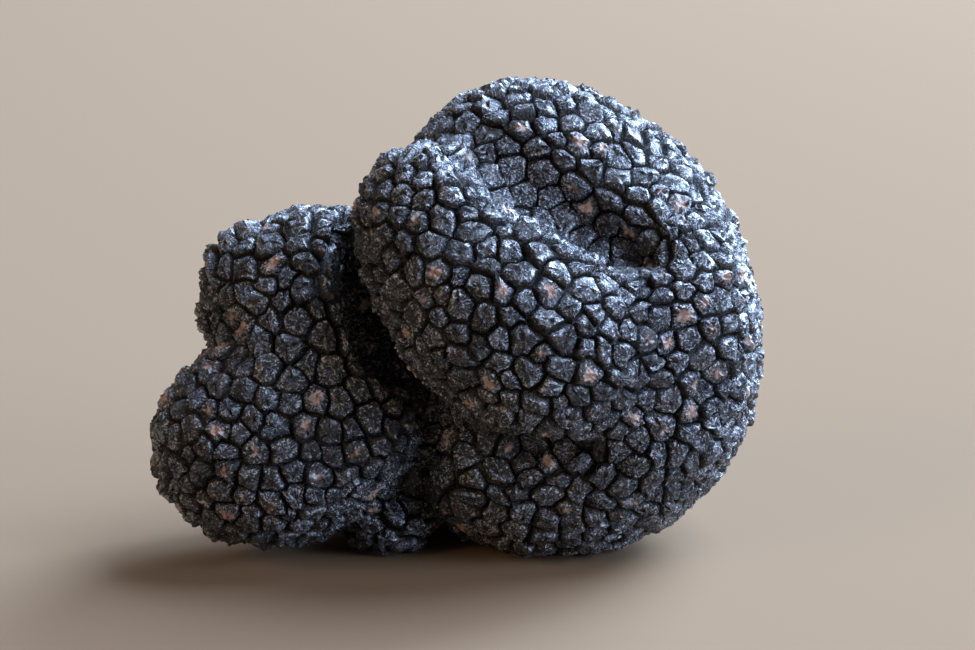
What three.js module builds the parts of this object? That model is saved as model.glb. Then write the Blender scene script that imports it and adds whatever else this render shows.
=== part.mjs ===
// A black truffle, the fruit body of an underground fungus, as it lies on a table.
// It grew in one piece: several lobes that melted together, under one skin of small many-sided warts.
// The skin is traced on the lobes' form, divided into one cell for each wart, and every cell is raised
// into a low pyramid between grooves. Three low points, worn flat, carry it.
//
// Millimetres. +X is to the right as seen from the front, +Y runs to the back, +Z is up.
import * as THREE from "three";

// Driving dimensions of the warts
const WART_SPACING = 2.15; // least distance between the middles of two neighbouring warts
const WART_UNEVENNESS = 1.8; // square millimetres by which a large wart pushes a small one back
const TIP_HEIGHT = 0.3; // usual height of a wart's tip above the lobes' form
const TIP_VARIETY = 0.14; // most that a tip stands above or below that height
const GROOVE_DEPTH = 0.7; // usual depth of a groove below the form
const GROOVE_VARIETY = 0.3; // share of its depth by which a groove differs from the next
const FOLD_WEIGHT = 1.2; // how far, in millimetres, a full turn of the skin sets two points apart
const RELAX_PASSES = 2; // times that every wart moves to the middle of its cell
const WART_SEED = 15; // picks one of the many ways in which the warts could lie

// Driving dimensions of the form
const GRID_STEP = 0.6; // spacing of the grid that the skin is traced on
const ARM_MELT = 2.2; // width of the seam between the body and the arm
const HEEL_MELT = 1.5; // width of the seam between the heel and the rest
const FLAT_ABOVE = 0.06; // skin that is lower than this, and faces down, lies on the table
const FACES_DOWN = -0.9; // upward part of a direction, under which the skin there faces down
const SWELL = 0.3; // height of the slow bumps over every lobe
const SWELL_LENGTH = 11; // distance from one such bump to the next
const SLOPE_REACH = 0.02; // distance to either side over which the form's slope is measured
const SLIDES = 4; // steps in which a point slides onto the form, each far finer than the last

// A lobe is an ellipsoid: its middle, its half sizes, its tilt in degrees about Y (down on the right),
// and the width over which it melts into the lobes listed before it.
const BODY = [
  { name: "core", at: [14.7, 4.5, 22.5], half: [16.4, 16, 18.5], tilt: 0, melt: 0 },
  { name: "crown", at: [8.2, 8, 35.1], half: [14.9, 14.5, 14.5], tilt: 20, melt: 4 },
  { name: "shoulder", at: [17, 8, 30], half: [12.8, 12.5, 13.1], tilt: 0, melt: 7 },
  { name: "cheek", at: [19.2, 1, 18.5], half: [12.8, 15.5, 12.5], tilt: 0, melt: 6 },
  { name: "sole", at: [10.4, 0.3, 10.6], half: [16, 13.4, 11.1], tilt: 0, melt: 5 },
  { name: "nape", at: [14.5, 15, 25.5], half: [13, 10.5, 12], tilt: 0, melt: 2 },
  { name: "haunch", at: [4, 13, 11.2], half: [12.5, 10.5, 11.7], tilt: 0, melt: 2 },
  { name: "fist", at: [7, -9, 27.4], half: [16.4, 12.8, 11.2], tilt: 36, melt: 2 },
  { name: "knuckle", at: [-2.7, -5.5, 37], half: [7.8, 9.5, 8.8], tilt: 0, melt: 4 },
  { name: "web", at: [22, -4.5, 27.5], half: [8.5, 7.8, 7.5], tilt: 0, melt: 6.5 },
];
const ARM = [
  { name: "bulb", at: [-19.3, -4, 13.2], half: [13.4, 12, 11.3], tilt: -10, melt: 0 },
  { name: "palm", at: [-10.2, -4.5, 15.5], half: [6.6, 9, 7.4], tilt: 0, melt: 3 },
  { name: "stub", at: [-15.5, 2, 27.7], half: [11, 10.5, 9.2], tilt: -16, melt: 3 },
  { name: "wrist", at: [-15.5, -3.2, 21.5], half: [8, 8, 8], tilt: 0, melt: 4 },
  { name: "corner", at: [-22.9, 2, 30], half: [4.2, 5.5, 4.4], tilt: 0, melt: 2.5 },
  { name: "bud", at: [-25.2, 1, 24.6], half: [2.6, 4, 2.6], tilt: 0, melt: 1.5 },
  { name: "bridge", at: [-6, 8.5, 16], half: [12, 8, 12], tilt: 0, melt: 4 },
];
const HEEL = [{ name: "heel", at: [-7.6, -0.8, 4.8], half: [6, 7.2, 5.2], tilt: 0, melt: 0 }];
// Hollows pressed into the lobes, given in the same way: first those that part the arm from the body
const ARM_HOLLOWS = [
  { name: "gap", at: [-8.2, -5.2, 28.5], half: [4.3, 8.5, 10], tilt: -16, melt: 1.5 },
  { name: "throat", at: [-2.2, -5, 20.5], half: [3.6, 10, 5.5], tilt: -38, melt: 1.5 },
  { name: "hole", at: [-1, -8, 13], half: [3.2, 8, 4.5], tilt: -8, melt: 1.5 },
];
const HOLLOWS = [
  { name: "furrow", at: [10.6, -7, 40.2], half: [13, 3.8, 3], tilt: 37, melt: 4 },
  { name: "crease", at: [6, -15, 14.4], half: [9.5, 4.6, 2.8], tilt: -4, melt: 1.5 },
  { name: "dimple", at: [27.3, -13.6, 20.8], half: [1.7, 2, 1.3], tilt: 60, melt: 3.5 },
];

// The same random numbers on every run, from 0 to 1
function randomSource(seed) {
  let state = seed;
  return () => {
    state = (state + 0x6d2b79f5) | 0;
    let mixed = Math.imul(state ^ (state >>> 15), 1 | state);
    mixed = (mixed + Math.imul(mixed ^ (mixed >>> 7), 61 | mixed)) ^ mixed;
    return ((mixed ^ (mixed >>> 14)) >>> 0) / 4294967296;
  };
}

// Nearly the distance from a point to a lobe's surface, below zero inside it
function lobeDistance(lobe, x, y, z) {
  const angle = THREE.MathUtils.degToRad(lobe.tilt);
  const dx = x - lobe.at[0];
  const dz = z - lobe.at[2];
  const along = dx * Math.cos(angle) - dz * Math.sin(angle);
  const up = dx * Math.sin(angle) + dz * Math.cos(angle);
  const local = [along, y - lobe.at[1], up];
  let unit = 0;
  let slope = 0;
  for (let i = 0; i < 3; i++) {
    unit += (local[i] / lobe.half[i]) ** 2;
    slope += (local[i] / lobe.half[i] ** 2) ** 2;
  }
  const share = Math.sqrt(unit);
  return (share * (share - 1)) / Math.max(Math.sqrt(slope), 1e-9);
}

// The nearer of two surfaces, rounded over a seam of the given width
function melted(a, b, width) {
  const overlap = Math.max(width - Math.abs(a - b), 0);
  return Math.min(a, b) - (width ? (overlap * overlap) / (4 * width) : 0);
}

function joinedLobes(lobes, x, y, z) {
  return lobes.reduce(
    (joined, lobe) => melted(joined, lobeDistance(lobe, x, y, z), lobe.melt),
    Infinity,
  );
}

function hollowed(form, hollows, x, y, z) {
  return hollows.reduce(
    (left, hollow) => -melted(-left, lobeDistance(hollow, x, y, z), hollow.melt),
    form,
  );
}

// Slow bumps, of a slightly different length in each direction so that they don't line up
function swell(x, y, z) {
  const turn = (2 * Math.PI) / SWELL_LENGTH;
  return SWELL * Math.sin(turn * x + 1) * Math.sin(turn * y * 0.9 + 2) * Math.sin(turn * z * 1.1);
}

// The whole form: the joined lobes, less the hollows, cut off level where it lies on the table
function formDistance(x, y, z) {
  const arm = hollowed(joinedLobes(ARM, x, y, z), ARM_HOLLOWS, x, y, z);
  const joined = melted(joinedLobes(BODY, x, y, z), arm, ARM_MELT);
  const form = melted(joined, joinedLobes(HEEL, x, y, z), HEEL_MELT);
  return Math.max(hollowed(form, HOLLOWS, x, y, z) - swell(x, y, z), -z);
}

// The outward direction of the form at a point
function formNormal(p) {
  const e = SLOPE_REACH;
  return new THREE.Vector3(
    formDistance(p.x + e, p.y, p.z) - formDistance(p.x - e, p.y, p.z),
    formDistance(p.x, p.y + e, p.z) - formDistance(p.x, p.y - e, p.z),
    formDistance(p.x, p.y, p.z + e) - formDistance(p.x, p.y, p.z - e),
  ).normalize();
}

// Slides a point onto the form's surface
function ontoForm(p) {
  for (let i = 0; i < SLIDES; i++)
    p.addScaledVector(formNormal(p), -formDistance(p.x, p.y, p.z));
  return p;
}

// The box that the lobes fill, with room for one grid step on every side
function gridBox() {
  const box = new THREE.Box3();
  for (const lobe of [...BODY, ...ARM, ...HEEL]) {
    const reach = new THREE.Vector3(...lobe.half);
    if (lobe.tilt) reach.setX(Math.max(reach.x, reach.z)).setZ(reach.x);
    const middle = new THREE.Vector3(...lobe.at);
    box.expandByPoint(middle.clone().sub(reach));
    box.expandByPoint(middle.add(reach));
  }
  box.min.z = -GRID_STEP;
  return box.expandByScalar(2 * GRID_STEP);
}

// Traces the form on a grid of cubes. Each cube that the surface passes through gets one point,
// and each grid edge that it crosses gets two triangles between the four cubes around it.
function traceSkin() {
  const box = gridBox();
  const size = box.getSize(new THREE.Vector3());
  const [nx, ny, nz] = [size.x, size.y, size.z].map((length) => Math.ceil(length / GRID_STEP) + 1);
  const index = (i, j, k) => i + nx * (j + ny * k);
  const corner = (i, j, k) =>
    new THREE.Vector3(i, j, k).multiplyScalar(GRID_STEP).add(box.min);
  const field = new Float64Array(nx * ny * nz);
  for (let k = 0; k < nz; k++)
    for (let j = 0; j < ny; j++)
      for (let i = 0; i < nx; i++) {
        const p = corner(i, j, k);
        field[index(i, j, k)] = formDistance(p.x, p.y, p.z);
      }

  const points = [];
  const pointOf = new Map();
  const pointIn = (i, j, k) => {
    const key = index(i, j, k);
    if (!pointOf.has(key)) {
      pointOf.set(key, points.length);
      points.push(ontoForm(corner(i + 0.5, j + 0.5, k + 0.5)));
    }
    return pointOf.get(key);
  };

  const triangles = [];
  const steps = [[1, 0, 0], [0, 1, 0], [0, 0, 1]];
  for (let k = 1; k < nz - 1; k++)
    for (let j = 1; j < ny - 1; j++)
      for (let i = 1; i < nx - 1; i++)
        steps.forEach((along, axis) => {
          const here = field[index(i, j, k)] < 0;
          const there = field[index(i + along[0], j + along[1], k + along[2])] < 0;
          if (here === there) return;
          const u = steps[(axis + 1) % 3];
          const v = steps[(axis + 2) % 3];
          const around = [[0, 0], [1, 0], [1, 1], [0, 1]].map(([a, b]) =>
            pointIn(i - a * u[0] - b * v[0], j - a * u[1] - b * v[1], k - a * u[2] - b * v[2]),
          );
          if (!here) around.reverse();
          triangles.push([around[0], around[1], around[2]], [around[0], around[2], around[3]]);
        });
  return { points, normals: points.map(formNormal), triangles };
}

// How far apart two places on the skin are, squared. A turn of the skin counts as distance,
// so that a wart never reaches across a fold to the lobe on its other side.
function apartSquared(p, n, q, m) {
  return p.distanceToSquared(q) + FOLD_WEIGHT * FOLD_WEIGHT * n.distanceToSquared(m);
}

// Scatters the warts' middles over the skin, none nearer to another than the spacing
function scatterWarts(skin, random) {
  const order = skin.points.map((_, i) => i);
  for (let i = order.length - 1; i > 0; i--) {
    const other = Math.floor(random() * (i + 1));
    [order[i], order[other]] = [order[other], order[i]];
  }
  const warts = [];
  for (const i of order) {
    const point = skin.points[i];
    const normal = skin.normals[i];
    const free = warts.every(
      (w) => apartSquared(point, normal, w.middle, w.normal) > WART_SPACING ** 2,
    );
    if (free)
      warts.push({ middle: point.clone(), normal: normal.clone(), push: random() * WART_UNEVENNESS });
  }
  return warts;
}

// Gives every point of the skin to the wart that it is nearest to
function shareOut(skin, warts) {
  return skin.points.map((point, i) => {
    let nearest = -1;
    let least = Infinity;
    warts.forEach((wart, w) => {
      const apart = apartSquared(point, skin.normals[i], wart.middle, wart.normal) - wart.push;
      if (apart < least) [nearest, least] = [w, apart];
    });
    return nearest;
  });
}

// Moves every wart to the middle of its cell
function relax(skin, warts) {
  const owner = shareOut(skin, warts);
  const sums = warts.map(() => ({ sum: new THREE.Vector3(), count: 0 }));
  owner.forEach((w, i) => {
    sums[w].sum.add(skin.points[i]);
    sums[w].count++;
  });
  return warts
    .map((wart, w) => {
      if (!sums[w].count) return null;
      const middle = ontoForm(sums[w].sum.divideScalar(sums[w].count));
      return { middle, normal: formNormal(middle), push: wart.push };
    })
    .filter(Boolean);
}

// Finds the corners where three cells meet, and each cell's corners in order round it.
// A wart whose cell isn't one plain ring with three sides or more is reported as a misfit.
function cellRings(skin, warts) {
  const owner = shareOut(skin, warts);
  const corners = [];
  const cornersOf = warts.map(() => []);
  const shared = new Map();
  for (const triangle of skin.triangles) {
    const cells = triangle.map((i) => owner[i]);
    if (new Set(cells).size < 3) continue;
    const place = new THREE.Vector3();
    triangle.forEach((i) => place.addScaledVector(skin.points[i], 1 / 3));
    const corner = corners.push({ place, cells }) - 1;
    cells.forEach((cell, i) => {
      cornersOf[cell].push(corner);
      const pair = [cell, cells[(i + 1) % 3]].sort((a, b) => a - b).join();
      shared.set(pair, [...(shared.get(pair) || []), corner]);
    });
  }
  const misfits = new Set();
  for (const [pair, ends] of shared)
    if (ends.length !== 2) misfits.add(Math.max(...pair.split(",").map(Number)));
  const rings = cornersOf.map((own, cell) => {
    const ring = [own[0]];
    // Leaving a corner, the ring follows the groove between this cell and the one to its right.
    for (let at = own[0], i = 0; i < own.length; i++) {
      const cells = corners[at].cells;
      const next = cells[(cells.indexOf(cell) + 2) % 3];
      const pair = [cell, next].sort((a, b) => a - b).join();
      at = shared.get(pair).find((other) => other !== at);
      if (at === undefined || at === own[0]) break;
      ring.push(at);
    }
    if (ring.length !== own.length || ring.length < 3) misfits.add(cell);
    return ring;
  });
  return { corners, rings, misfits };
}

// Scatters and evens out the warts, leaving out the few that fit nowhere until all the rest fit
function growWarts(skin, random) {
  let warts = scatterWarts(skin, random);
  for (let pass = 0; pass < RELAX_PASSES; pass++) warts = relax(skin, warts);
  for (;;) {
    const { corners, rings, misfits } = cellRings(skin, warts);
    if (!misfits.size) return { warts, corners, rings };
    warts = warts.filter((_, w) => !misfits.has(w));
  }
}

// Moves a point of the skin out or in, and lays it level where it touches the table
function raised(place, height) {
  const point = ontoForm(place.clone());
  const normal = formNormal(point);
  if (point.z < FLAT_ABOVE && normal.z < FACES_DOWN) return point.setZ(0);
  point.addScaledVector(normal, height);
  return point.setZ(Math.max(point.z, 0));
}

// One low pyramid for each wart, with its foot in the grooves that it shares with its neighbours
function wartyGeometry() {
  const random = randomSource(WART_SEED);
  const { warts, corners, rings } = growWarts(traceSkin(), random);
  const feet = corners.map(({ place }) =>
    raised(place, -GROOVE_DEPTH * (1 + GROOVE_VARIETY * (2 * random() - 1))),
  );
  const tips = warts.map(({ middle }) =>
    raised(middle, TIP_HEIGHT + TIP_VARIETY * (2 * random() - 1)),
  );
  const indices = rings.flatMap((ring, w) =>
    ring.flatMap((foot, i) => [feet.length + w, foot, ring[(i + 1) % ring.length]]),
  );
  const geometry = new THREE.BufferGeometry().setFromPoints([...feet, ...tips]);
  geometry.setIndex(indices);
  geometry.computeBoundingBox();
  const middle = geometry.boundingBox.getCenter(new THREE.Vector3());
  geometry.translate(-middle.x, -middle.y, 0);
  geometry.computeVertexNormals();
  return geometry;
}

function truffle() {
  const skin = new THREE.MeshStandardMaterial({
    color: new THREE.Color(0.035, 0.034, 0.038),
    roughness: 0.6,
    metalness: 0,
    flatShading: true,
  });
  const mesh = new THREE.Mesh(wartyGeometry(), skin);
  mesh.name = "truffle";
  return mesh;
}

const group = new THREE.Group();
group.add(truffle());

export default group;
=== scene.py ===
# %% [markdown]
# # A black truffle
# A truffle is the fruit body of an underground fungus: a lobed lump the size of a small plum,
# under a black skin of many-sided warts. The solid model has the lobes at their real size, and
# each wart as a low pyramid. This script keeps that form and makes the skin that an eye sees:
# blunt warts with crumpled, glossy tops, narrow grooves painted nearly black as shade, pale
# streaks on the wrinkles that are partly a thin bloom and partly painted glints of cold light,
# and tips rubbed through to the flesh.

# %% Load the solid model
import math
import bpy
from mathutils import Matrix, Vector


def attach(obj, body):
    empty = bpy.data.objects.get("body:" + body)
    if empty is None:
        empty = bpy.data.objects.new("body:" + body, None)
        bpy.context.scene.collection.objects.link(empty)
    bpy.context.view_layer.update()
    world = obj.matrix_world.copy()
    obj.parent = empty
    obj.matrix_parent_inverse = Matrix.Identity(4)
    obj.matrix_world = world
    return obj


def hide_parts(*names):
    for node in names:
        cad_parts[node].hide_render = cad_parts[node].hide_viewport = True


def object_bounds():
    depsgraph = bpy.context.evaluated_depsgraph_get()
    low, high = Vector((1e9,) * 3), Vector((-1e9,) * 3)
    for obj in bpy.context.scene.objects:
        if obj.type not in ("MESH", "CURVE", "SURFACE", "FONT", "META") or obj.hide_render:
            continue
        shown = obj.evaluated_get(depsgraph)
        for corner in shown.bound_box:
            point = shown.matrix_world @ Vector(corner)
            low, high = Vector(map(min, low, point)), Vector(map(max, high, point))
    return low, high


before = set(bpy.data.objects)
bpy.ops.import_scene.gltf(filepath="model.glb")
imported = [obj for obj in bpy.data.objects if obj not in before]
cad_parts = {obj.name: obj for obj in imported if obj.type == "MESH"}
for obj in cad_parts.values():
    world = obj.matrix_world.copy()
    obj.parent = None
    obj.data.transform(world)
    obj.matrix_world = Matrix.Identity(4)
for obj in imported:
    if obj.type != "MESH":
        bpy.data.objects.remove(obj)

from types import SimpleNamespace

import bmesh
import bpy
import numpy as np
from mathutils import Vector

solid_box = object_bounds()
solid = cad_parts["truffle"]
print("the solid's faces:", len(solid.data.polygons))
print("the solid's size in mm:", [round(1000 * side, 1) for side in solid_box[1] - solid_box[0]])

# %% [markdown]
# ## The camera
# The photograph looks at the truffle from the front and slightly above. A camera could be turned
# by hand until the picture fits, but two wrong values can then hide each other. The perspective
# depends only on the camera's distance, its angle above the table and the point that it looks
# at, so those three are named values. The lens only crops the view and comes last.

# %% Place the camera
MM = 0.001
CAMERA_DISTANCE = 394 * MM
CAMERA_ABOVE_HORIZON = math.radians(15)
CAMERA_LENS = 134.7
NEAREST_SEEN = 10 * MM
LOOKED_AT = Vector((3.21, -1.91, 24.7)) * MM

camera = bpy.data.objects.new("camera", bpy.data.cameras.new("camera"))
bpy.context.scene.collection.objects.link(camera)
towards_camera = Vector((0, -math.cos(CAMERA_ABOVE_HORIZON), math.sin(CAMERA_ABOVE_HORIZON)))
camera.location = LOOKED_AT + CAMERA_DISTANCE * towards_camera
camera.rotation_euler = (-towards_camera).to_track_quat("-Z", "Y").to_euler()
camera.data.lens = CAMERA_LENS
camera.data.clip_start = NEAREST_SEEN
bpy.context.scene.camera = camera
print("the camera stands", round(camera.location.z / MM), "mm above the table")

# %% [markdown]
# ## Reading the warts off the solid
# Each wart of the solid is a fan of triangles: a tip in the middle, and a ring of feet in the
# grooves around it. Three warts meet at every foot, so a foot always has six neighbours. A point
# with another number of neighbours must be a tip. From one such tip the rest follow, triangle by
# triangle: across an edge that has no tip on it, the next triangle's far corner is the next tip.
# Scattering new warts would be less work, but these are the ones that the solid's form, size and
# collision shape were checked with.

# %% Join the solid's corners
SAME_POINT = 0.02 * MM

mesh = bmesh.new()
mesh.from_mesh(solid.data)
bmesh.ops.remove_doubles(mesh, verts=mesh.verts, dist=SAME_POINT)
mesh.verts.index_update()
mesh.faces.index_update()
print("the solid has", len(mesh.verts), "points and", len(mesh.faces), "triangles")

# %% Find the tip of every triangle
FOOT_NEIGHBOURS = 6

first_tip = next(point for point in mesh.verts if len(point.link_edges) != FOOT_NEIGHBOURS)
tip_of = {face: first_tip for face in first_tip.link_faces}
waiting = list(tip_of)
while waiting:
    face = waiting.pop()
    for edge in face.edges:
        for other in edge.link_faces:
            if other in tip_of:
                continue
            far_corner = next(point for point in other.verts if point not in edge.verts)
            tip_of[other] = tip_of[face] if tip_of[face] in edge.verts else far_corner
            waiting.append(other)
tips = sorted(set(tip_of.values()), key=lambda tip: tip.index)
print("warts on the solid:", len(tips))

# %% List each wart's feet in order round its tip
def feet_round(tip):
    """The wart's feet, anticlockwise as seen from outside."""
    after = {}
    for face in tip.link_faces:
        corners = list(face.verts)
        start = corners.index(tip)
        after[corners[(start + 1) % 3].index] = corners[(start + 2) % 3].index
    ring = [next(iter(after))]
    while after[ring[-1]] != ring[0]:
        ring.append(after[ring[-1]])
    return ring


places = np.array([point.co for point in mesh.verts]) / MM
rings = [feet_round(tip) for tip in tips]
peaks = places[[tip.index for tip in tips]]
mesh.free()
print("feet to a wart:", min(map(len, rings)), "to", max(map(len, rings)))

# %% [markdown]
# ## Bending the grooves
# The grooves of the solid are straight from foot to foot, and real ones wander a little. Noise
# over the whole mesh would move the feet too and change the form. Here each groove gets one more
# point halfway, moved at random and never along the groove. The two warts beside a groove share
# that point, so the skin stays one closed sheet. Where the truffle rests on the table the grooves
# stay straight, and the flats stay flat.

# %% Halve the grooves and let them wander
GROOVE_WANDER = 0.16
BELOW_TABLE_SKIN = 0.3
NO_LENGTH = 1e-9
SKIN_SEED = 23

draw = np.random.default_rng(SKIN_SEED)
points = list(places)
middle_of = {}


def groove_middle(a, b):
    """The index of the point halfway along the groove from foot a to foot b."""
    pair = (min(a, b), max(a, b))
    if pair not in middle_of:
        along = places[b] - places[a]
        shift = draw.normal(size=3) * GROOVE_WANDER
        shift -= along * (shift @ along) / max(along @ along, NO_LENGTH)
        resting = max(places[a][2], places[b][2]) < BELOW_TABLE_SKIN
        middle_of[pair] = len(points)
        points.append((places[a] + places[b]) / 2 + (0 if resting else shift))
    return middle_of[pair]


def outline_of(ring):
    """The wart's feet with the groove's middle point after each of them."""
    outline = []
    for foot, after in zip(ring, ring[1:] + ring[:1]):
        outline += [foot, groove_middle(foot, after)]
    return outline


outlines = [outline_of(ring) for ring in rings]
print("grooves:", len(middle_of))

# %% [markdown]
# ## Growing the real warts
# A pyramid is only a wart's outline. The real wart rises steeply out of its groove, rounds over
# a shoulder and ends in a blunt, crumpled top that leans a little to one side. A displacement
# map could draw that, but a map knows nothing of where one wart ends. Here every wart is rebuilt
# from its own tip and feet: rings of points climb from the groove to the top, on a profile that
# is steep first and level later.

# %% Describe a wart's profile
# Each ring: its share of the way from the groove to the tip, its share of the wart's height,
# and how much it may be crumpled, in millimetres.
PROFILE = [
    (0.04, 0.28, 0.02),
    (0.09, 0.62, 0.04),
    (0.19, 0.87, 0.06),
    (0.42, 0.99, 0.09),
    (0.70, 1.03, 0.11),
]
CORNER_ROUNDING = 0.8
SIDEWAYS_CRUMPLE = 0.4
print("rings to a wart:", len(PROFILE))

# %% Say how much one wart differs from the next
HEIGHT_VARIETY = 0.2
LIFT_RANGE = (-1, 0.5)
TOP_TILT = 0.20
RIDGE = 0.20
FOLD = 0.13
DENTED_SHARE = 0.35
WORN_SHARE = 0.16
WELL_WORN = (0.6, 1)
HARDLY_WORN = (0, 0.25)


def drawn_wart(rim_points):
    """What sets one wart apart from the next, drawn at random."""
    return SimpleNamespace(
        tone=draw.random(),
        dented=draw.random() < DENTED_SHARE,
        worn=draw.uniform(*(WELL_WORN if draw.random() < WORN_SHARE else HARDLY_WORN)),
        lift=1 + HEIGHT_VARIETY * draw.uniform(*LIFT_RANGE),
        tilt=draw.normal(size=2) * TOP_TILT,
        ridge=RIDGE * draw.random(),
        folds=draw.normal(size=rim_points) * FOLD,
    )


print("warts that will be worn to the flesh:", round(WORN_SHARE * len(tips)))

# %% Measure a wart's directions
# The wart's two sideways directions lie in the skin, square to each other. With the tip as their
# zero they give a place its own coordinates on the wart, which the finish needs for streaks that
# run outwards.
GRAIN_STEP = 40


def measured_wart(rim, peak):
    """A wart with its rim, its peak, its directions and how far it rises over each rim point."""
    wart = drawn_wart(len(rim))
    wart.rim, wart.peak, wart.middle = rim, peak, rim.mean(axis=0)
    spokes = rim - wart.middle
    out = np.cross(spokes, np.roll(spokes, -1, axis=0)).sum(axis=0)
    wart.out = out / np.linalg.norm(out)
    across = np.cross(wart.out, spokes[0])
    across /= np.linalg.norm(across)
    wart.sides = np.column_stack([np.cross(across, wart.out), across])
    climb = (peak - rim) @ wart.out
    wart.rises = climb * wart.lift
    wart.level = (peak - rim) - np.outer(climb, wart.out)
    wart.resting = peak[2] < BELOW_TABLE_SKIN
    return wart


def grain_at(wart, place):
    """The place in the wart's own coordinates, with a third that differs from wart to wart."""
    return np.array([*(place - wart.peak) @ wart.sides, GRAIN_STEP * wart.tone])


print("the grain of two warts lies up to", GRAIN_STEP, "mm apart")

# %% Shape one ring of a wart
# Every second point of a ring stands over a foot. Rounding pulls those points in, and a ridge
# lifts them, so that the top keeps a hint of its corners.
def ring_places(wart, share, height, crumple):
    """The points of one ring, level with each other and then leaned, folded and crumpled."""
    on_foot = np.arange(len(wart.rim)) % 2 == 0
    inwards = share + CORNER_ROUNDING * on_foot * share * (1 - share) ** 2
    ring = wart.rim + inwards[:, None] * wart.level + height * np.outer(wart.rises, wart.out)
    if wart.resting:
        return ring
    crumpled = draw.normal(size=(len(ring), 4)) * crumple
    rise = (ring - wart.peak) @ wart.sides @ wart.tilt + (on_foot - 0.5) * wart.ridge + wart.folds
    rise = rise * height * (1 - share) ** 0.5 + crumpled[:, 0]
    return ring + np.outer(rise, wart.out) + crumpled[:, 1:] * SIDEWAYS_CRUMPLE


print("a ring's points can be made")

# %% Shape the middle of a wart's top
DENT_DEPTH = (0.05, 0.22)
TOP_UNEVENNESS = 0.05


def top_of(wart):
    """The middle of the top and how far it has sunk, most of all where the wart is dented."""
    sink = 0
    if not wart.resting:
        sink = draw.uniform(*DENT_DEPTH) if wart.dented else draw.normal() * TOP_UNEVENNESS
    rise = (wart.peak - wart.middle) @ wart.out * (wart.lift - 1)
    return wart.peak + wart.out * (rise - sink), sink


print("a dent is at most", DENT_DEPTH[1], "mm deep")

# %% Grow all the warts
# Each point also stores what the finish needs: its height on the wart, how worn it is, the
# wart's tone and the grain. Points in the grooves belong to no wart and have neutral values.
WEAR_STARTS = 0.16

height_of = [0.0] * len(points)
worn_of = [0.0] * len(points)
tone_of = [0.5] * len(points)
grain_of = list(points)
triangles = []


def add_point(wart, place, height, worn):
    """Adds one point of the skin, with what the finish needs to know about it."""
    points.append(place)
    height_of.append(height)
    worn_of.append(worn)
    tone_of.append(wart.tone)
    grain_of.append(grain_at(wart, place))
    return len(points) - 1


def bridge(low, high):
    """Two triangles for every step between a ring and the next one in."""
    for i in range(len(low)):
        j = (i + 1) % len(low)
        triangles.extend([(low[i], low[j], high[j]), (low[i], high[j], high[i])])


def grow_wart(outline, peak):
    """Rebuilds one wart from its groove points and its tip."""
    wart = measured_wart(np.array([points[index] for index in outline]), peak)
    below = outline
    for share, height, crumple in PROFILE:
        worn = wart.worn * max(0, (share - WEAR_STARTS) / (1 - WEAR_STARTS)) ** 0.5
        places_here = ring_places(wart, share, height, crumple)
        ring = [add_point(wart, place, height, worn) for place in places_here]
        bridge(below, ring)
        below = ring
    top, sink = top_of(wart)
    centre = add_point(wart, top, 1 - sink, wart.worn)
    for foot, after in zip(below, below[1:] + below[:1]):
        triangles.append((foot, after, centre))


for outline, peak in zip(outlines, peaks):
    grow_wart(outline, peak)
print("the skin has", len(points), "points and", len(triangles), "triangles")

# %% [markdown]
# ## One sheet of skin
# A truffle's skin has no gaps, and a mesh of loose warts would show some. All the points become
# one mesh, clipped to the solid's box so that the truffle keeps its measured size. Smooth shading
# alone would make the warts look like beads, and flat shading would show every triangle. So it is
# smooth across gentle angles and crisp across sharp ones, as on the real warts, whose shoulders
# are round and whose grooves are cut. The stored values go in as attributes, which a finish reads
# by name.

# %% Make the skin's mesh
CRISP_EDGE = math.radians(38)

low, high = (np.array(corner) / MM for corner in solid_box)
skin_places = np.clip(np.array(points), low, high) * MM

skin_mesh = bpy.data.meshes.new("truffle_skin")
skin_mesh.from_pydata(skin_places.tolist(), [], triangles)
skin_mesh.validate()
skin_mesh.shade_smooth()
skin_mesh.set_sharp_from_angle(angle=CRISP_EDGE)
for name, values in (("height", height_of), ("worn", worn_of), ("tone", tone_of)):
    attribute = skin_mesh.attributes.new(name, "FLOAT", "POINT")
    attribute.data.foreach_set("value", np.array(values, np.float32))
grain = skin_mesh.attributes.new("grain", "FLOAT_VECTOR", "POINT")
grain.data.foreach_set("vector", np.array(grain_of, np.float32).ravel())
print("the skin's faces:", len(skin_mesh.polygons))

# %% Put the skin in the solid's place
skin = bpy.data.objects.new("truffle_skin", skin_mesh)
bpy.context.scene.collection.objects.link(skin)
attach(skin, "root")
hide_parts("truffle")
print("the skin stands for the solid:", skin.name)

# %% [markdown]
# ## Writing a finish as sums
# A shader is a graph of small nodes, and sums drawn as nodes are hard to read. The class below
# holds one socket and lets Python's own signs add the Math nodes, so that a mask can be written
# as 1 - dust. Colours and directions go through Vector Math and Mix instead, because a Math node
# turns a colour grey.

# %% A socket that can be used in a sum
class Wire:
    """One output socket of a finish's node tree."""

    def __init__(self, finish, socket):
        self.finish = finish
        self.socket = socket

    def sum(self, operation, *values):
        """A Math node, or a Vector Math node where one of the values is a colour or direction."""
        wires = [value for value in values if isinstance(value, Wire)]
        flat = all(wire.socket.type == "VALUE" for wire in wires)
        kind = "ShaderNodeMath" if flat else "ShaderNodeVectorMath"
        return self.finish.node(kind, {"operation": operation}, dict(enumerate(values)))

    def __add__(self, other):
        return self.sum("ADD", self, other)

    def __radd__(self, other):
        return self.sum("ADD", other, self)

    def __sub__(self, other):
        return self.sum("SUBTRACT", self, other)

    def __rsub__(self, other):
        return self.sum("SUBTRACT", other, self)

    def __mul__(self, other):
        return self.sum("MULTIPLY", self, other)

    def __rmul__(self, other):
        return self.sum("MULTIPLY", other, self)


print("sums that can be written:", [name for name in vars(Wire) if name.startswith("__r")])

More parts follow.
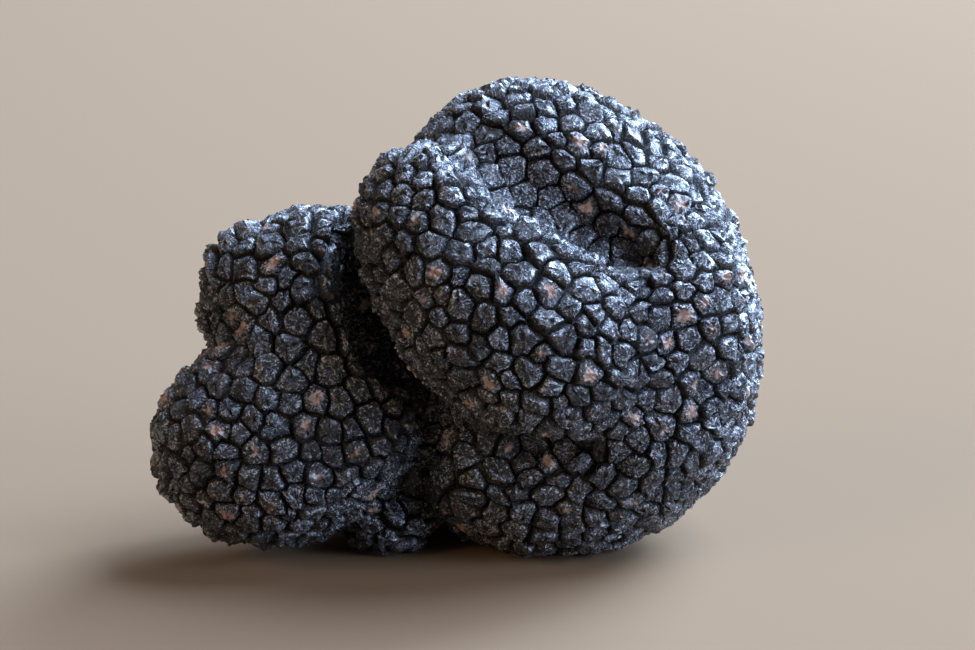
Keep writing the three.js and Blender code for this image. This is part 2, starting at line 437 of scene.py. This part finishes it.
# %% A material that is being written
# Some nodes have several sockets of one name, so those are picked by number.
MIX_FACTOR, MIX_COLOUR_A, MIX_COLOUR_B, MIX_COLOUR = 0, 6, 7, 2
ATTRIBUTE_DIRECTION, ATTRIBUTE_NUMBER = 1, 2


class Finish:
    """A material with its shader, and one way to add any other node."""

    def __init__(self, name):
        self.material = bpy.data.materials.new(name)
        self.material.use_nodes = True
        self.tree = self.material.node_tree
        self.shader = self.tree.nodes["Principled BSDF"]

    def node(self, kind, settings, sockets, output=0):
        """Adds a node: first its settings, then the values or wires of its sockets."""
        node = self.tree.nodes.new(kind)
        for name, value in settings.items():
            setattr(node, name, value)
        for name, value in sockets.items():
            self.connect(node.inputs[name], value)
        return Wire(self, node.outputs[output])

    def connect(self, socket, value):
        """Puts a wire or a plain value on a socket."""
        if isinstance(value, Wire):
            self.tree.links.new(value.socket, socket)
        elif hasattr(socket.default_value, "__len__") and not hasattr(value, "__len__"):
            socket.default_value = [value] * len(socket.default_value)
        else:
            socket.default_value = value

    def set(self, **sockets):
        """Sets the shader's sockets, named as on the node with _ for a space."""
        for name, value in sockets.items():
            self.connect(self.shader.inputs[name.replace("_", " ")], value)

    def mix(self, factor, a, b):
        """Goes from colour a to colour b as factor goes from 0 to 1."""
        sockets = {MIX_FACTOR: factor, MIX_COLOUR_A: a, MIX_COLOUR_B: b}
        return self.node("ShaderNodeMix", {"data_type": "RGBA"}, sockets, MIX_COLOUR)

    def attribute(self, name, output=ATTRIBUTE_NUMBER):
        """What the mesh stores under a name."""
        return self.node("ShaderNodeAttribute", {"attribute_name": name}, {}, output)

    def noise(self, place, size, detail=2.0, roughness=0.5):
        """Soft random spots of about that size in millimetres, from 0 to 1."""
        sockets = {"Vector": place, "Scale": 1 / size, "Detail": detail, "Roughness": roughness}
        return self.node("ShaderNodeTexNoise", {}, sockets)

    def between(self, value, low, high):
        """0 before low, 1 past high and smooth in between. Low may be the larger number."""
        settings = {"interpolation_type": "SMOOTHSTEP"}
        sockets = {"Value": value, "From Min": low, "From Max": high}
        return self.node("ShaderNodeMapRange", settings, sockets)


skin_finish = Finish("truffle_skin")
print("nodes in an empty finish:", len(skin_finish.tree.nodes))

# %% [markdown]
# ## What the skin's finish depends on
# Everything on the skin follows either the wart or chance. A picture laid over the truffle would
# show its seams on so many lobes. Instead the mesh stores the height on the wart, the wear and
# the tone, and chance comes as noise at three sizes: clouds as wide as a few warts, mottling
# inside a wart, and grit as fine as dust. The noise is read in the object's own millimetres, so
# it has no seams and stays on the skin from every side.

# %% Measure what the finish depends on
MOTTLE_SIZE = 0.7
GRIT_SIZE = 0.26
CLOUD_SIZE = 7.0
OBJECT_COORDINATES = 3

place = skin_finish.node("ShaderNodeTexCoord", {}, {}, OBJECT_COORDINATES) * (1 / MM)
height = skin_finish.attribute("height")
worn = skin_finish.attribute("worn")
tone = skin_finish.attribute("tone")
wart_place = skin_finish.attribute("grain", ATTRIBUTE_DIRECTION)

mottle = skin_finish.noise(place, MOTTLE_SIZE, detail=3)
grit = skin_finish.noise(place, GRIT_SIZE, detail=3, roughness=0.6)
cloud = skin_finish.noise(place, CLOUD_SIZE)
print("nodes so far:", len(skin_finish.tree.nodes))

# %% [markdown]
# ## Streaks from the tip
# A wart's top is drawn together in fine wrinkles that run out from its tip. Noise alone has no
# direction. Here it is read mostly by the direction from the tip and only a little by the
# distance, which stretches its spots into streaks that point outwards.

# %% Draw the streaks
STREAK_SIZE = 0.36
STRETCH = (0.6, 0.6, 1)

flat_place = wart_place * (1, 1, 0)
outwards = skin_finish.node("ShaderNodeVectorMath", {"operation": "NORMALIZE"}, {0: flat_place})
streaks = skin_finish.noise(outwards + wart_place * STRETCH, STREAK_SIZE, detail=3, roughness=0.7)
print("nodes so far:", len(skin_finish.tree.nodes))

# %% [markdown]
# ## The black of the skin
# Truffle skin is black with a cold grey cast, and no two warts are quite alike. One flat black
# would look like moulded rubber. The colour goes from coal to slate by the wart's tone, the
# mottling and the streaks together, because each alone gives a pattern that the eye picks out.
# Here and there a little brown earth has dried on.

# %% Colour the skin
COAL = (0.007, 0.007, 0.008, 1)
SLATE = (0.018, 0.021, 0.032, 1)
EARTH = (0.046, 0.031, 0.022, 1)
EARTH_SIZE = 3.5
EARTH_EDGE = (0.48, 0.66)

shade = tone * 0.3 + mottle * 0.5 + streaks * 0.5 - 0.3
colour = skin_finish.mix(shade, COAL, SLATE)
earth = skin_finish.between(skin_finish.noise(place, EARTH_SIZE, detail=3), *EARTH_EDGE)
colour = skin_finish.mix(earth * mottle, colour, EARTH)
print("nodes so far:", len(skin_finish.tree.nodes))

# %% [markdown]
# ## The pale bloom, and painted glints
# The pale bluish colour on the wrinkles of the wart tops is partly a thin bloom and partly a
# painted highlight: the glints that cold light strikes from the wrinkles. It is stronger in some
# regions than in others. Plain noise would sprinkle it like salt. The mask is the brightest part
# of the streaks, so it follows the wrinkles. It is broken up by grit, weaker outside the clouds,
# and nearly gone below the shoulder. The grooves are painted nearly black after it, as painted
# shade between the warts.

# %% Add the bloom with its painted glints, and paint shade into the grooves
# The first colour is partly a painted highlight, the glints of cold light on the wrinkles, and
# partly a thin bloom.
GLINT_AND_BLOOM = (0.27, 0.30, 0.38, 1)
# The next colour is painted shade: nearly black for the grooves between the warts.
GROOVE_SHADE = (0.004, 0.0028, 0.0022, 1)
GLINT_AND_BLOOM_STRENGTH = 0.9
GLINT_AND_BLOOM_EDGE = (0.76, 0.85)
GLINT_AND_BLOOM_OFF_CLOUDS = 0.3
GLINT_AND_BLOOM_BELOW_TOP = 0.1
CLOUD_EDGE = (0.25, 0.6)
TOP_HEIGHT = (0.55, 0.9)
GROOVE_SHADE_HEIGHT = (0.75, 0.3)

cloudy = skin_finish.between(cloud, *CLOUD_EDGE) * (1 - GLINT_AND_BLOOM_OFF_CLOUDS) + GLINT_AND_BLOOM_OFF_CLOUDS
# Partly a painted highlight: the glint colour goes on the brightest wrinkles, mostly on the wart
# tops.
glint_and_bloom = skin_finish.between(streaks + 0.4 * grit + 0.05 * tone, *GLINT_AND_BLOOM_EDGE) * cloudy
on_top = skin_finish.between(height, *TOP_HEIGHT)
glint_and_bloom = glint_and_bloom * (GLINT_AND_BLOOM_BELOW_TOP + (1 - GLINT_AND_BLOOM_BELOW_TOP) * on_top)
colour = skin_finish.mix(glint_and_bloom * GLINT_AND_BLOOM_STRENGTH, colour, GLINT_AND_BLOOM)
# Painted shade: low on each wart, the colour goes nearly black into the grooves.
colour = skin_finish.mix(skin_finish.between(height, *GROOVE_SHADE_HEIGHT), colour, GROOVE_SHADE)
print("nodes so far:", len(skin_finish.tree.nodes))

# %% [markdown]
# ## Worn tips and dust
# Handling has rubbed some tips through to the pinkish-brown flesh. Spots could be placed one by
# one, but a draw for each wart gives the right share of them on every side. The mesh says which
# warts and how far from the tip, and mottling frays the edge. Specks of dry soil lie over
# everything as pale dust, a little more on the shoulders, where brushing leaves them.

# %% Add the worn tips and the dust
FLESH = (0.58, 0.38, 0.30, 1)
DUST = (0.60, 0.63, 0.68, 1)
FLESH_EDGE = (0.72, 0.95)
DUST_STRENGTH = 0.8
DUST_EDGE = (0.82, 0.89)
DUST_IN_GROOVE = 0.1
SHOULDER_FROM = (0.5, 0.8)
SHOULDER_TO = (1.0, 0.9)
OUT_OF_GROOVE = (0.3, 0.9)

worn_spots = skin_finish.between(worn * 0.8 + mottle * 0.7, *FLESH_EDGE)
colour = skin_finish.mix(worn_spots, colour, FLESH)
shoulder = skin_finish.between(height, *SHOULDER_FROM) * skin_finish.between(height, *SHOULDER_TO)
dust = skin_finish.between(grit + mottle * 0.2 + cloud * 0.2 + shoulder * 0.05, *DUST_EDGE)
raised = skin_finish.between(height, *OUT_OF_GROOVE)
dust = dust * (DUST_IN_GROOVE + (1 - DUST_IN_GROOVE) * raised)
colour = skin_finish.mix(dust * DUST_STRENGTH, colour, DUST)
print("nodes so far:", len(skin_finish.tree.nodes))

# %% [markdown]
# ## Gloss and fine relief
# The wart tops shine a little where they are smooth, and the grooves don't. A lower roughness
# all over would make the truffle look wet. A coat gives the shine instead, because its weight can
# be nothing in the grooves and can follow the streaks, which breaks it into small patches. The
# wrinkles themselves are too fine for the mesh and are a bump, under a millimetre deep.

# %% Give the skin its gloss and its fine relief
BUMP_DEPTH = 0.7 * MM
COAT_STRENGTH = 0.8
COAT_ROUGHNESS = 0.3
COAT_EDGE = (0.5, 0.8)
COAT_HEIGHT = (0.35, 0.9)
SPECULAR_LEVEL = 0.6

roughness = 0.44 - 0.3 * streaks - 0.1 * tone + 0.3 * dust
relief = streaks + mottle * 0.5 + grit * 0.6
bump_sockets = {"Strength": 1.0, "Distance": BUMP_DEPTH, "Height": relief}
bump = skin_finish.node("ShaderNodeBump", {}, bump_sockets)
coat = skin_finish.between(streaks + 0.3 * mottle, *COAT_EDGE)
coat = coat * skin_finish.between(height, *COAT_HEIGHT)
skin_finish.set(Base_Color=colour, Roughness=roughness, Normal=bump)
skin_finish.set(Coat_Weight=coat * COAT_STRENGTH, Coat_Roughness=COAT_ROUGHNESS)
skin_finish.set(Specular_IOR_Level=SPECULAR_LEVEL)
skin_mesh.materials.append(skin_finish.material)
print("nodes in the skin's finish:", len(skin_finish.tree.nodes))

# %% [markdown]
# ## The table
# The truffle lies on a plain pale table. A curved backdrop would hide the horizon from one side
# only. This is one flat sheet, far larger than the view, so that no edge shows from any side, and
# fully matte, so that the lights don't mirror in it.

# %% Lay the table
TABLE_SIZE = 3.0
TABLE_COLOUR = (0.182, 0.125, 0.079, 1)

half = TABLE_SIZE / 2
corners = [(-half, -half, 0), (half, -half, 0), (half, half, 0), (-half, half, 0)]
table_mesh = bpy.data.meshes.new("table")
table_mesh.from_pydata(corners, [], [(0, 1, 2, 3)])
table = bpy.data.objects.new("table", table_mesh)
bpy.context.scene.collection.objects.link(table)
table_finish = Finish("table")
table_finish.set(Base_Color=TABLE_COLOUR, Roughness=1.0, Specular_IOR_Level=0.0)
table_mesh.materials.append(table_finish.material)
print("the table is", TABLE_SIZE, "m wide")

# %% [markdown]
# ## The light
# In the photograph cold light from a window falls over the truffle from behind and from the
# right, and rakes over the warts. A light beside the camera would flatten them. Three soft area
# lights do the window's work: one high on the right, a low one from the side, and a sheen from
# behind that catches the wart tops. A weak warm light from the left, and a warm world, are what
# the room gives back.

# %% Make one soft light
LIGHT_DISTANCE = 1.5


def softbox(name, size, watts, colour, azimuth, elevation, distance=LIGHT_DISTANCE):
    """A square soft light that faces the truffle. Azimuth 0 is behind it and 90 on its right."""
    light = bpy.data.lights.new(name, "AREA")
    light.size = size
    light.energy = watts
    light.color = colour
    lamp = bpy.data.objects.new(name, light)
    bpy.context.scene.collection.objects.link(lamp)
    turn, rise = math.radians(azimuth), math.radians(elevation)
    level = math.cos(rise)
    away = Vector((math.sin(turn) * level, math.cos(turn) * level, math.sin(rise)))
    lamp.location = LOOKED_AT + away * distance
    lamp.rotation_euler = away.to_track_quat("Z", "Y").to_euler()


print("the lights stand", LIGHT_DISTANCE, "m away or a little less")

# %% Light the truffle
WORLD_COLOUR = (1.0, 0.86, 0.72, 1)
WORLD_STRENGTH = 0.10

softbox("window", size=1.1, watts=76, colour=(0.55, 0.71, 1.0), azimuth=72, elevation=54)
softbox("side", size=0.8, watts=34, colour=(0.57, 0.72, 1.0), azimuth=112, elevation=16)
softbox("sheen", size=0.9, watts=112, colour=(0.50, 0.69, 1.0), azimuth=40, elevation=27)
softbox("room", size=0.7, watts=8, colour=(1.0, 0.76, 0.54), azimuth=235, elevation=28, distance=1.4)

world = bpy.data.worlds.new("world")
world.use_nodes = True
background = world.node_tree.nodes["Background"]
background.inputs["Color"].default_value = WORLD_COLOUR
background.inputs["Strength"].default_value = WORLD_STRENGTH
bpy.context.scene.world = world
bpy.context.scene.view_settings.view_transform = "Standard"

# %% [markdown]
# ## Closing
# The skin has to stay inside the solid's box, because other scenes place the truffle by that
# box.
